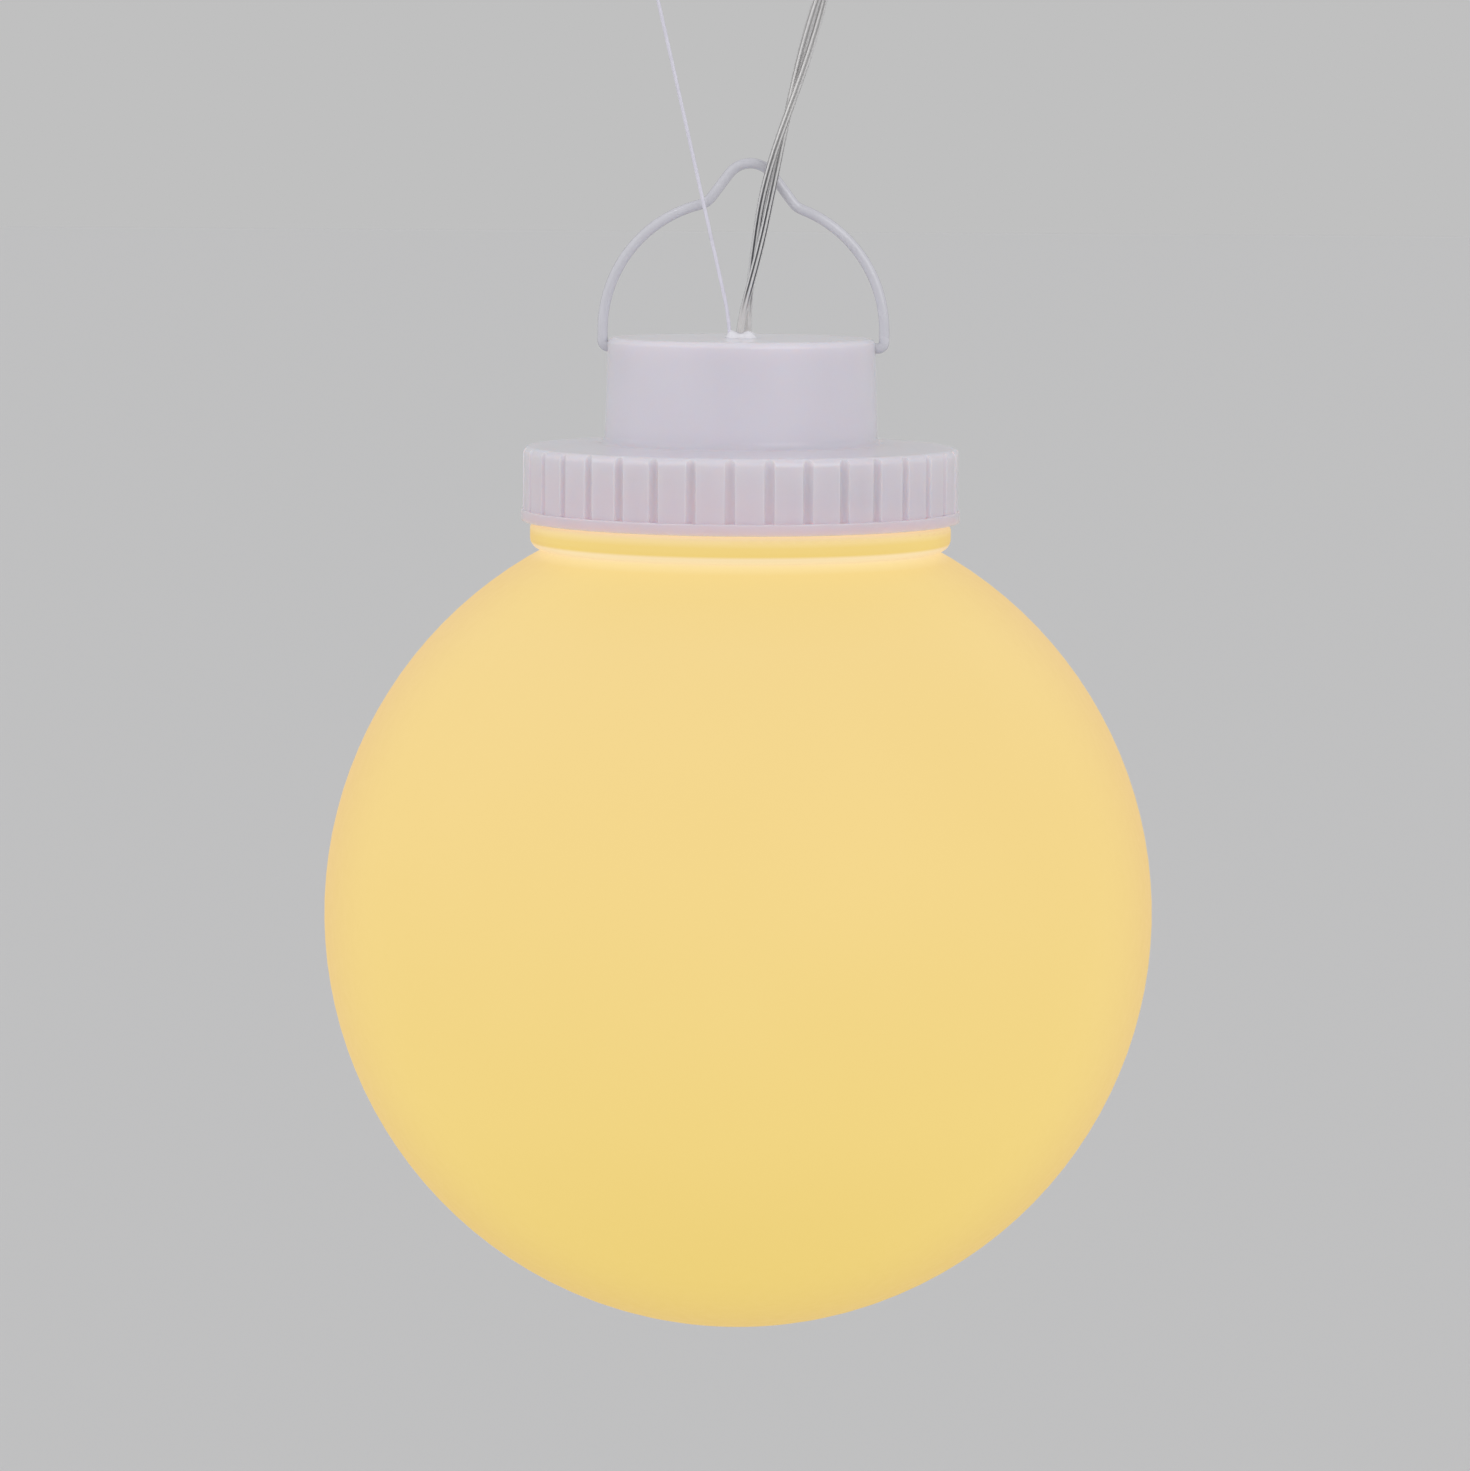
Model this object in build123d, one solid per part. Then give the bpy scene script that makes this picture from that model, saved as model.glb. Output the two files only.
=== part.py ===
from build123d import *
import os
from math import asin, atan2, cos, degrees, radians, sin, sqrt, tan

# Garden globe light: an opal globe screwed into a fluted cap with a wire bail, hung from its lead.
# Millimetres, +Z up. The origin is the middle of the cap's top face, where lead and line come out.
# The bail's feet lie along X. The lead and the line pass in front of the bail, on its -Y side.

# ---- Driving dimensions ----
# Globe
globe_radius = 40.0
globe_wall = 1.2
neck_radius = 18.1  # outside, at the root of the thread
neck_length = 4.75  # from the rim down to the bead
bead_height = 2.45
bead_step = 0.7  # the bead is this much narrower than the collar
bead_top_rounding = 0.5
bead_lower_rounding = 1.1
bead_hollow = 1.3  # radius of the groove inside the bead
groove_step = 1.4  # the groove between bead and sphere is this much narrower than the bead
gasket_thickness = 1.0
gasket_width = 2.6

# Cap: turret above, fluted collar below
turret_radius = 12.8
turret_height = 10.0
turret_draft = 1.7  # degrees
turret_edge = 0.6
turret_foot = 0.8
turret_wall = 2.1
top_plate = 1.6
collar_height = 7.45
collar_slope = 0.4  # fall of the collar's top towards its edge
collar_edge = 0.7
collar_wall = 1.4
collar_plate = 2.0  # between the turret's foot and the ceiling inside the collar
thread_room = 1.4  # between the neck and the collar's inner wall
rim_height = 1.1
rim_proud = 0.15
rim_edge = 0.12
inner_corner = 0.5
flute_count = 36
flute_width = 1.0
flute_depth = 0.35
outlet_radius = 1.5

# Bail and its sockets
bail_wire_radius = 0.5
bail_pivot_drop = 0.9  # pivot line below the cap's top face
bail_side_gap = 0.1  # from the turret's wall to the start of the foot's bend
bail_bend = 0.58
bail_reach = 2.0  # straight end inside the turret
bail_side_play = 0.15  # the wire stands this far to the right
arch_level = 0.75  # where the straight legs end
arch_flat = 1.2  # each side's arc is centred this far across
hump_top = 16.6  # of the wire's centre line
hump_radius = 2.55
hump_across = 0.6  # the hump is formed this far off the middle
hump_slope = 53.0  # of the hump's flanks, in degrees
hump_foot_bend = 2.1
socket_clearance = 0.06
socket_end_gap = 0.4
socket_block_wall = 1.1

# Lamp holder and its screws
holder_thickness = 1.5
holder_gap = 0.15
holder_seat = 0.9  # width of the ledge that the holder rests against
holder_collar_wall = 1.0
holder_collar_height = 1.2
screw_circle = 8.0  # from the axis to each screw
screw_boss_radius = 2.2
screw_boss_rib = 1.0
screw_radius = 0.78
screw_length = 5.0  # above the head
screw_head_radius = 1.9
screw_head_height = 1.3
screw_recess_width = 0.5
screw_clearance = 0.3
pilot_gap = 0.02
pilot_spare = 0.8  # depth of the pilot hole past the screw's end

# Lamp
lamp_radius = 2.5
lamp_flange_radius = 2.9
lamp_flange = 1.0
lamp_height = 3.8  # below the flange
lamp_dome = 1.6
lamp_gap = 0.05
reflector_radius = 4.6
reflector_depth = 1.0
pin_radius = 0.25
pin_spacing = 2.54
pin_rise = 1.3  # from the flange to the pins' level run
pin_bend = 0.5

# Resistor and joints inside the turret
resistor_radius = 0.925
resistor_length = 3.5
resistor_start = 2.9  # inner end of its body, from the axis
joint_reach = 7.6  # from the axis to the upright joints
sleeve_wall = 0.3
sleeve_length = 2.4
sleeve_gap = 0.02
sleeve_rise = 0.5  # from the pins' level run to the sleeve
wire_drop = 3.9  # from the cap's top face to the strands' level run

# Lead, line and what stops them
strand_radius = 0.375
lead_outlet = 0.15  # along X
line_radius = 0.175
line_outlet = (-1.05, -0.65)  # along X and Y
seal_height = 0.7
seal_brim = 0.35
seal_gap = 0.02
crimp_wall = 0.25
crimp_height = 1.1
stop_radius = 0.35
stop_height = 0.9
stop_gap = 0.05  # from the top plate down to the crimp and the stop

# Plug on the lead, loop on the line
boot_length = 6.0
boot_start_radius = 1.15
boot_end_radius = 2.3
boot_groove_count = 3
boot_groove_width = 0.7
boot_groove_depth = 0.35
shell_radius = 3.4
shell_length = 12.0
shell_edge = 0.8
grip_count = 12
grip_width = 0.9
grip_depth = 0.3
grip_margin = 2.0
barrel_radius = 1.75
barrel_wall = 0.3
barrel_length = 9.5
core_gap = 0.02
contact_radius = 0.9
contact_bore = 0.675
contact_depth = 8.5
knot_radius = 0.6
knot_length = 1.6
loop_radius = 2.2
loop_length = 9.0  # from the knot to the middle of the loop's round end

# Routes, as chosen points: straight up through the sealant, then past the bail's front
lead_route = [
    (lead_outlet, 0.0, -top_plate),
    (lead_outlet, 0.0, 1.6),
    (1.28, -0.95, 7.4),
    (2.71, -1.80, 15.5),
    (5.52, -2.20, 25.5),
    (8.33, -2.50, 35.4),
]
line_route = [
    (*line_outlet, -top_plate - stop_gap),
    (*line_outlet, 1.5),
    (-2.27, -1.00, 6.75),
    (-3.99, -1.35, 14.3),
    (-6.44, -1.90, 25.1),
    (-8.90, -2.35, 35.7),
]

# ---- Levels and radii that follow from the driving dimensions ----
collar_top = -turret_height
ceiling = collar_top - collar_plate
cap_bottom = collar_top - collar_height
collar_bore = neck_radius + thread_room
collar_radius = collar_bore + collar_wall
turret_foot_radius = turret_radius + turret_height * tan(radians(turret_draft))
cavity_radius = turret_radius - turret_wall
rebate_radius = cavity_radius + holder_seat
ledge = ceiling + holder_thickness

neck_rim = ceiling - gasket_thickness
bead_top = neck_rim - neck_length
bead_bottom = bead_top - bead_height
bead_radius = collar_radius - bead_step
groove_radius = bead_radius - groove_step
globe_centre = bead_bottom - sqrt(globe_radius**2 - groove_radius**2)

bail_pivot = -bail_pivot_drop
bail_bend_start = turret_radius + bail_side_gap
bail_leg = bail_bend_start + bail_bend
socket_radius = bail_wire_radius + socket_clearance
socket_floor = turret_radius - bail_reach - bail_side_play - socket_end_gap

flange_top = ledge + lamp_flange
pin_level = flange_top + pin_rise
sleeve_bottom = pin_level + sleeve_rise
joint_level = sleeve_bottom + sleeve_length / 2
lead_radius = 2 * strand_radius

UPWARDS = (Align.CENTER, Align.CENTER, Align.MIN)
ACROSS = Rot(0, 90, 0)  # turns an upright piece along X


# ---- Shared steps ----
def disc(radius, bottom, top):
    """A plain round about the Z axis."""
    return Pos(0, 0, bottom) * Cylinder(radius, top - bottom, align=UPWARDS)


def turned(profile):
    """A profile, drawn as radius across and height up, turned about the Z axis."""
    return revolve(Plane.XZ * profile, Axis.Z)


def rounded(profile, roundings):
    """A flat profile with the corners at the given places rounded."""
    for across, up, radius in roundings:
        nearest = profile.vertices().sort_by_distance((across, up, 0))[0]
        profile = fillet(nearest, radius)
    return profile


def both_sides(piece):
    """A piece and its copy turned half round the Z axis."""
    return [piece, Rot(0, 0, 180) * piece]


def soft_path(points, name=""):
    """Straight runs joined by arcs as large as the runs allow. Prints the arcs' radii."""
    places = [Vector(*point) for point in points]
    radii = []
    for before, here, after in zip(places, places[1:], places[2:]):
        run_in, run_out = here - before, after - here
        half_turn = radians(run_in.get_angle(run_out)) / 2
        radii.append(0.45 * min(run_in.length, run_out.length) / tan(half_turn))
    print(name, "arc radii in mm:", *[round(radius, 1) for radius in radii])
    return FilletPolyline(*places, radius=radii)


def wire_along(path, radius):
    """A round wire along a path."""
    return sweep((path ^ 0) * Circle(radius), path)


def at_route_end(route):
    """The frame of a route's end, with Z pointing on along the last run."""
    before, end = Vector(*route[-2]), Vector(*route[-1])
    return Plane(origin=end, x_dir=(1, 0, 0), z_dir=end - before)


# ---- Cap ----
def make_screw_cap():
    """One moulding: hollow turret, sloping shoulder and fluted collar with a plain rim."""
    shoulder = collar_top - collar_slope
    rim_top = cap_bottom + rim_height
    rim_radius = collar_radius + rim_proud
    outline = Polyline(
        (outlet_radius, 0),
        (turret_radius, 0),
        (turret_foot_radius, collar_top),
        (collar_radius, shoulder),
        (collar_radius, rim_top),
        (rim_radius, rim_top),
        (rim_radius, cap_bottom),
        (collar_bore, cap_bottom),
        (collar_bore, ceiling),
        (rebate_radius, ceiling),
        (rebate_radius, ledge),
        (cavity_radius, ledge),
        (cavity_radius, -top_plate),
        (outlet_radius, -top_plate),
        close=True,
    )
    roundings = [
        (turret_radius, 0, turret_edge),
        (turret_foot_radius, collar_top, turret_foot),
        (collar_radius, shoulder, collar_edge),
        (rim_radius, rim_top, rim_edge),
        (rim_radius, cap_bottom, rim_edge),
        (collar_bore, cap_bottom, rim_edge),
        (collar_bore, ceiling, inner_corner),
        (cavity_radius, -top_plate, inner_corner),
    ]
    cap = turned(rounded(make_face(outline), roundings))

    # Screw bosses, each with a rib to the wall
    boss = Pos(0, screw_circle, 0) * disc(screw_boss_radius, ledge, -top_plate / 2)
    rib_end = cavity_radius + inner_corner
    rib = Pos(0, (screw_circle + rib_end) / 2, (ledge - top_plate / 2) / 2) * Box(
        screw_boss_rib, rib_end - screw_circle, -top_plate / 2 - ledge
    )
    cap += both_sides(boss + rib)
    pilot_top = ceiling + screw_length + pilot_spare
    cap -= both_sides(Pos(0, screw_circle, 0) * disc(screw_radius + pilot_gap, ledge, pilot_top))

    # Blocks under the top plate, with the blind sockets for the bail's feet
    block_start = socket_floor - socket_block_wall
    block_end = cavity_radius + inner_corner
    block_bottom = bail_pivot - socket_radius - socket_block_wall
    block = Pos((block_start + block_end) / 2, 0, (block_bottom - top_plate / 2) / 2) * Box(
        block_end - block_start,
        2 * (socket_radius + socket_block_wall),
        -top_plate / 2 - block_bottom,
    )
    cap += both_sides(block)
    socket_length = turret_radius + 2 * bail_bend - socket_floor
    cap -= both_sides(
        Pos(socket_floor, 0, bail_pivot) * ACROSS * Cylinder(socket_radius, socket_length, align=UPWARDS)
    )

    # Flutes run out over the shoulder and end on the rim
    tool_radius = (flute_width**2 / 4 + flute_depth**2) / (2 * flute_depth)
    tool = Pos(0, 0, rim_top) * Cylinder(tool_radius, collar_height, align=UPWARDS)
    flute_circle = PolarLocations(
        collar_radius - flute_depth + tool_radius, flute_count, start_angle=90
    )
    cap -= [place * tool for place in flute_circle]
    return cap


# ---- Bail ----
def make_bail_half(across):
    """Right half of the bail's line, with the hump's middle the given distance across."""
    arch_radius = bail_leg - arch_flat
    arch_centre = Vector(arch_flat, arch_level)
    hump_centre = Vector(across, hump_top - hump_radius)
    slope = radians(hump_slope)
    down, out = Vector(cos(slope), -sin(slope)), Vector(sin(slope), cos(slope))

    # The flank runs down until the foot's bend touches the arch
    flank_top = hump_centre + out * hump_radius
    reach = flank_top + out * hump_foot_bend - arch_centre
    spread = arch_radius + hump_foot_bend
    run = -reach.dot(down) - sqrt(reach.dot(down) ** 2 - reach.dot(reach) + spread**2)
    flank_end = flank_top + down * run
    bend_centre = flank_end + out * hump_foot_bend
    to_bend = bend_centre - arch_centre
    arch_end = degrees(atan2(to_bend.Y, to_bend.X))
    flank_turn = 90 - hump_slope
    return [
        Line((turret_radius - bail_reach, bail_pivot), (bail_bend_start, bail_pivot)),
        CenterArc((bail_bend_start, bail_pivot + bail_bend), bail_bend, -90, 90),
        Line((bail_leg, bail_pivot + bail_bend), (bail_leg, arch_level)),
        CenterArc(arch_centre, arch_radius, 0, arch_end),
        CenterArc(bend_centre, hump_foot_bend, arch_end + 180, flank_turn - arch_end),
        Line(flank_end, flank_top),
        CenterArc(hump_centre, hump_radius, flank_turn, 90 - flank_turn),
    ]


def make_bail_wire():
    """Round wire: hooked feet, an arch over the turret and a hump that takes a hook."""
    left_half = [mirror(edge, Plane.YZ) for edge in make_bail_half(-hump_across)]
    whole = make_bail_half(hump_across) + left_half
    path = Wire([edge for part in whole for edge in part.edges()])
    return wire_along(Pos(bail_side_play, 0, 0) * (Plane.XZ * path), bail_wire_radius)


# ---- Lamp and what holds it ----
def make_lamp_holder():
    """Round insert: a collar round the lamp's flange above, a dished reflector below."""
    bore = lamp_radius + lamp_gap
    collar_inner = lamp_flange_radius + lamp_gap
    holder = disc(rebate_radius - holder_gap, ceiling, ledge)
    holder += disc(collar_inner + holder_collar_wall, ledge, ledge + holder_collar_height)
    holder -= disc(collar_inner, ledge, ledge + holder_collar_height)
    holder -= disc(bore, ceiling, ledge)
    holder -= Pos(0, 0, ceiling) * Cone(reflector_radius, bore, reflector_depth, align=UPWARDS)
    holder -= both_sides(
        Pos(0, screw_circle, 0) * disc(screw_radius + screw_clearance, ceiling, ledge)
    )
    return holder


def make_holder_screws():
    """Two pan-head screws with crossed recesses; the plain shank stands for the thread."""
    head_bottom = ceiling - screw_head_height
    head = disc(screw_head_radius, head_bottom, ceiling)
    head = fillet(head.edges().sort_by(Axis.Z)[0], screw_head_height * 0.6)
    recess = Box(screw_head_radius, screw_recess_width, screw_head_height)
    head -= Pos(0, 0, head_bottom) * (recess + Rot(0, 0, 90) * recess)
    screw = head + disc(screw_radius, ceiling, ceiling + screw_length)
    return both_sides(Pos(0, screw_circle, 0) * screw)


def make_led_lens():
    """Lamp body with a low dome; its flange rests on the holder."""
    lens = disc(lamp_radius, ledge - lamp_height, ledge)
    lens = fillet(lens.edges().sort_by(Axis.Z)[0], lamp_dome)
    return lens + disc(lamp_flange_radius, ledge, flange_top)


def make_led_pins():
    """Two pins: up from the flange, level, and the left one up again into its joint."""
    left = FilletPolyline(
        (-pin_spacing / 2, 0, flange_top),
        (-pin_spacing / 2, 0, pin_level),
        (-joint_reach, 0, pin_level),
        (-joint_reach, 0, joint_level),
        radius=pin_bend,
    )
    right = FilletPolyline(
        (pin_spacing / 2, 0, flange_top),
        (pin_spacing / 2, 0, pin_level),
        (resistor_start - pin_bend, 0, pin_level),
        radius=pin_bend,
    )
    return [wire_along(left, pin_radius), wire_along(right, pin_radius)]


def make_series_resistor():
    """Small axial resistor between the right pin and its joint."""
    body = ACROSS * Cylinder(resistor_radius, resistor_length)
    body = fillet(body.edges(), resistor_radius / 3)
    tail = FilletPolyline(
        (resistor_start - pin_bend, 0, pin_level),
        (joint_reach, 0, pin_level),
        (joint_reach, 0, joint_level),
        radius=pin_bend,
    )
    return Pos(resistor_start + resistor_length / 2, 0, pin_level) * body + wire_along(tail, pin_radius)


def make_joint_sleeves():
    """Shrink sleeves over the two upright joints."""
    bore = strand_radius + sleeve_gap
    sleeve = disc(bore + sleeve_wall, sleeve_bottom, sleeve_bottom + sleeve_length)
    sleeve -= disc(bore, sleeve_bottom, sleeve_bottom + sleeve_length)
    return both_sides(Pos(joint_reach, 0, 0) * sleeve)


def make_inner_wires():
    """The lead's two strands inside the turret: down, level, and down into the joints."""
    wires = []
    for side in (-1, 1):
        start = lead_outlet + side * strand_radius
        route = [
            (start, 0, -top_plate),
            (start, 0, -wire_drop),
            (side * joint_reach, 0, -wire_drop),
            (side * joint_reach, 0, joint_level),
        ]
        wires.append(wire_along(soft_path(route, "inner wire"), strand_radius))
    return wires


def make_lead_crimp():
    """Oval ring crimped round the two strands, under the top plate."""
    bore = strand_radius + sleeve_gap
    oval = SlotCenterToCenter(2 * strand_radius, 2 * (bore + crimp_wall))
    oval -= SlotCenterToCenter(2 * strand_radius, 2 * bore)
    bottom = -top_plate - stop_gap - crimp_height
    return Pos(lead_outlet, 0, bottom) * extrude(oval, crimp_height)


# ---- Lead, line, sealant ----
def make_supply_lead():
    """The twin lead as one round of its two strands' width."""
    return wire_along(soft_path(lead_route, "lead"), lead_radius)


def make_hanging_line():
    return wire_along(soft_path(line_route, "line"), line_radius)


def make_line_stop():
    """Bead crimped on the line's end, under the top plate."""
    top = -top_plate - stop_gap
    bead = disc(stop_radius, top - stop_height, top)
    bead = fillet(bead.edges(), stop_radius / 2)
    return Pos(*line_outlet, 0) * bead


def make_outlet_seal(lead, line):
    """Sealant that fills the outlet round the lead and the line, with a low crown on top."""
    outline = Polyline(
        (0, -top_plate),
        (outlet_radius - seal_gap, -top_plate),
        (outlet_radius - seal_gap, 0),
        (outlet_radius + seal_brim, 0),
    )
    crown = ThreePointArc(
        (outlet_radius + seal_brim, 0), (outlet_radius * 0.75, seal_height * 0.75), (0, seal_height)
    )
    closing = Line((0, seal_height), (0, -top_plate))
    blob = Rot(0, 0, 90) * turned(make_face(outline + crown + closing))  # its seam clear of the lead's
    return blob - lead - line


# ---- Plug and loop, past the top of the view ----
def make_plug_boot():
    """Tapered strain relief with grooves round it."""
    boot = Cone(boot_start_radius, boot_end_radius, boot_length, align=UPWARDS)
    pitch = boot_length / (boot_groove_count + 1)
    for groove in range(1, boot_groove_count + 1):
        level = groove * pitch
        radius = boot_start_radius + (boot_end_radius - boot_start_radius) * level / boot_length
        cut = Cylinder(boot_end_radius + 1, boot_groove_width)
        cut -= Cylinder(radius - boot_groove_depth, boot_groove_width)
        boot -= Pos(0, 0, level) * cut
    return at_route_end(lead_route) * boot


def make_plug_shell():
    """Moulded plug body with grip flutes."""
    shell = Cylinder(shell_radius, shell_length, align=UPWARDS)
    shell = fillet(shell.edges().filter_by(GeomType.CIRCLE), shell_edge)
    tool_radius = (grip_width**2 / 4 + grip_depth**2) / (2 * grip_depth)
    tool = Pos(0, 0, grip_margin) * Cylinder(tool_radius, shell_length - 2 * grip_margin, align=UPWARDS)
    grip_circle = PolarLocations(shell_radius - grip_depth + tool_radius, grip_count)
    shell -= [place * tool for place in grip_circle]
    return at_route_end(lead_route) * (Pos(0, 0, boot_length) * shell)


def make_plug_barrel():
    """Outer metal sleeve of the plug."""
    barrel = Cylinder(barrel_radius, barrel_length, align=UPWARDS)
    barrel -= Cylinder(barrel_radius - barrel_wall, barrel_length, align=UPWARDS)
    return at_route_end(lead_route) * (Pos(0, 0, boot_length + shell_length) * barrel)


def make_plug_insulator():
    """Insulating tube between the plug's sleeve and its inner contact."""
    insulator = Cylinder(barrel_radius - barrel_wall - core_gap, barrel_length, align=UPWARDS)
    insulator -= Cylinder(contact_radius + core_gap, barrel_length, align=UPWARDS)
    return at_route_end(lead_route) * (Pos(0, 0, boot_length + shell_length) * insulator)


def make_plug_contact():
    """Inner contact: a tube, blind at the plug's body, that takes the socket's centre pin."""
    contact = Cylinder(contact_radius, barrel_length, align=UPWARDS)
    contact -= Pos(0, 0, barrel_length - contact_depth) * Cylinder(
        contact_bore, contact_depth, align=UPWARDS
    )
    return at_route_end(lead_route) * (Pos(0, 0, boot_length + shell_length) * contact)


def make_line_loop():
    """Knot at the line's end and the drop-shaped loop that it closes."""
    knot = Cylinder(knot_radius, knot_length, align=UPWARDS)
    knot = fillet(knot.edges().filter_by(GeomType.CIRCLE), knot_radius / 2)
    foot = (1.5 * line_radius, knot_length - knot_radius / 2)
    lean = degrees(asin((loop_radius - foot[0]) / (loop_length - foot[1])))
    round_end = CenterArc((0, loop_length), loop_radius, -lean, 180 + 2 * lean)
    path = Wire(
        [
            Edge.make_line(foot, round_end @ 0),
            *round_end.edges(),
            Edge.make_line(round_end @ 1, (-foot[0], foot[1])),
        ]
    )
    loop = wire_along(Plane.XZ * path, line_radius)
    return at_route_end(line_route) * (knot + loop)


# ---- Globe and gasket ----
def make_neck_gasket():
    """Soft ring between the neck's rim and the ceiling inside the collar."""
    outer = neck_radius + gasket_width / 4
    ring = disc(outer, neck_rim, ceiling) - disc(outer - gasket_width, neck_rim, ceiling)
    return ring


def make_globe_shell():
    """Blown globe with a bead under its neck. The bead is hollow inside too."""
    groove_angle = degrees(atan2(bead_bottom - globe_centre, groove_radius))
    half_outline = [
        CenterArc((0, globe_centre), globe_radius, -90, 90 + groove_angle),
        Polyline(
            (groove_radius, bead_bottom),
            (bead_radius, bead_bottom),
            (bead_radius, bead_top),
            (neck_radius, bead_top),
            (neck_radius, neck_rim),
            (0, neck_rim),
            (0, globe_centre - globe_radius),
        ),
    ]
    half = make_face([edge for line in half_outline for edge in line.edges()])
    roundings = [
        (bead_radius, bead_bottom, bead_lower_rounding),
        (bead_radius, bead_top, bead_top_rounding),
    ]
    globe = turned(rounded(half, roundings))
    bore = neck_radius - globe_wall
    globe -= Pos(0, 0, globe_centre) * Sphere(globe_radius - globe_wall)
    globe -= disc(bore, globe_centre, neck_rim)
    globe -= Pos(0, 0, (bead_top + bead_bottom) / 2) * Torus(bore, bead_hollow)
    return globe


# ---- Export ----
lead = make_supply_lead()
line = make_hanging_line()
nodes = {
    "screw_cap": make_screw_cap(),
    "bail_wire": make_bail_wire(),
    "lamp_holder": make_lamp_holder(),
    "holder_screws": make_holder_screws(),
    "led_lens": make_led_lens(),
    "led_pins": make_led_pins(),
    "series_resistor": make_series_resistor(),
    "joint_sleeves": make_joint_sleeves(),
    "inner_wires": make_inner_wires(),
    "lead_crimp": make_lead_crimp(),
    "line_stop": make_line_stop(),
    "outlet_seal": make_outlet_seal(lead, line),
    "supply_lead": lead,
    "plug_boot": make_plug_boot(),
    "plug_shell": make_plug_shell(),
    "plug_barrel": make_plug_barrel(),
    "plug_insulator": make_plug_insulator(),
    "plug_contact": make_plug_contact(),
    "hanging_line": line,
    "line_loop": make_line_loop(),
    "neck_gasket": make_neck_gasket(),
    "globe_shell": make_globe_shell(),
}

os.makedirs("parts", exist_ok=True)
for name, shape in nodes.items():
    piece = Compound(shape) if isinstance(shape, list) else shape
    export_step(piece, f"parts/{name}.step")
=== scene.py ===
import bpy, math
from mathutils import Matrix, Vector


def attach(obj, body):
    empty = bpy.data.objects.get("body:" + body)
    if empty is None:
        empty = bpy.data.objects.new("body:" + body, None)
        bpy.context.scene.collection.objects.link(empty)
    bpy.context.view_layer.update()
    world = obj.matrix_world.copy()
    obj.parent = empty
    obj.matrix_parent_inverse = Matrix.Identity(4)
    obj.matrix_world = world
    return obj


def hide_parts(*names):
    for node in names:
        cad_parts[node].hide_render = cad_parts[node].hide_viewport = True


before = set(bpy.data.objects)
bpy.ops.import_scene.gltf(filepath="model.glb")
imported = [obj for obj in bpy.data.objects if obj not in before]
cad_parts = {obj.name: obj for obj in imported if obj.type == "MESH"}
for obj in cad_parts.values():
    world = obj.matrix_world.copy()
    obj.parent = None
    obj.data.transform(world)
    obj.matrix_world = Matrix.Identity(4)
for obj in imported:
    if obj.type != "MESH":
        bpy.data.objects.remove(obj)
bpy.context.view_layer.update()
MM = 0.001  # a millimetre in metres


# ---- Cap ----
# The real cap is one injection moulding in milky, faintly lilac polypropylene: a hollow turret,
# a sloping shoulder and a fluted collar that screws onto the globe's neck. Painted shade makes
# the collar a little darker, and a painted glow of the neck's light tints its rim pink.
def add(tree, kind, sockets=None, **settings):
    """A node with its settings made and its sockets given a value or a link."""
    node = tree.nodes.new(kind)
    for name, value in settings.items():
        setattr(node, name, value)
    for name, value in (sockets or {}).items():
        if isinstance(value, bpy.types.NodeSocket):
            tree.links.new(value, node.inputs[name])
        else:
            node.inputs[name].default_value = value
    return node


def new_group(name, kind, sockets):
    """An empty node group, its named inputs and its named outputs."""
    tree = bpy.data.node_groups.new(name, kind)
    for socket, way, sort, value in sockets:
        made = tree.interface.new_socket(name=socket, in_out=way, socket_type="NodeSocket" + sort)
        if value is not None:
            made.default_value = value
    return tree, add(tree, "NodeGroupInput").outputs, add(tree, "NodeGroupOutput").inputs


def mixed(tree, share, first, second, way="MIX"):
    """The colour between two colours, at that share."""
    sockets = {0: share, 6: first, 7: second}
    return add(tree, "ShaderNodeMix", sockets, data_type="RGBA", blend_type=way).outputs[2]


def times(tree, first, second):
    """One colour multiplied by another."""
    return mixed(tree, 1.0, first, second, way="MULTIPLY")


def maths(tree, way, *values):
    """The result of one arithmetic step."""
    return add(tree, "ShaderNodeMath", dict(enumerate(values)), operation=way).outputs[0]


def ranged(tree, value, low, high, new_low=0.0, new_high=1.0, smooth=False):
    """A value taken from one range to another and kept inside it."""
    node = add(
        tree,
        "ShaderNodeMapRange",
        {"Value": value, "From Min": low, "From Max": high, "To Min": new_low, "To Max": new_high},
        interpolation_type="SMOOTHSTEP" if smooth else "LINEAR",
    )
    return node.outputs[0]


def own_axis(tree, axis):
    """One of the object's own coordinates, in metres."""
    place = tree.nodes["Texture Coordinate"].outputs["Object"]
    return add(tree, "ShaderNodeSeparateXYZ", {0: place}).outputs[axis]


# Cloudy tint, patchy gloss and fine grain of a moulded, drawn or plated surface
uneven, given, result = new_group(
    "uneven_surface",
    "ShaderNodeTree",
    [
        ("Place", "INPUT", "Vector", None),
        ("Cloud Scale", "INPUT", "Float", 120.0),
        ("Grain Scale", "INPUT", "Float", 2500.0),
        ("Light Colour", "INPUT", "Color", None),
        ("Dark Colour", "INPUT", "Color", None),
        ("Smoothest", "INPUT", "Float", 0.25),
        ("Roughest", "INPUT", "Float", 0.45),
        ("Colour", "OUTPUT", "Color", None),
        ("Roughness", "OUTPUT", "Float", None),
        ("Height", "OUTPUT", "Float", None),
    ],
)
cloud, grain = (
    add(
        uneven,
        "ShaderNodeTexNoise",
        {"Vector": given["Place"], "Scale": given[scale], "Detail": detail},
    ).outputs[0]
    for scale, detail in (("Cloud Scale", 3.0), ("Grain Scale", 2.0))
)
cloudy = ranged(uneven, cloud, 0.32, 0.68)
patchy = maths(uneven, "ADD", cloud, grain)
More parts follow.
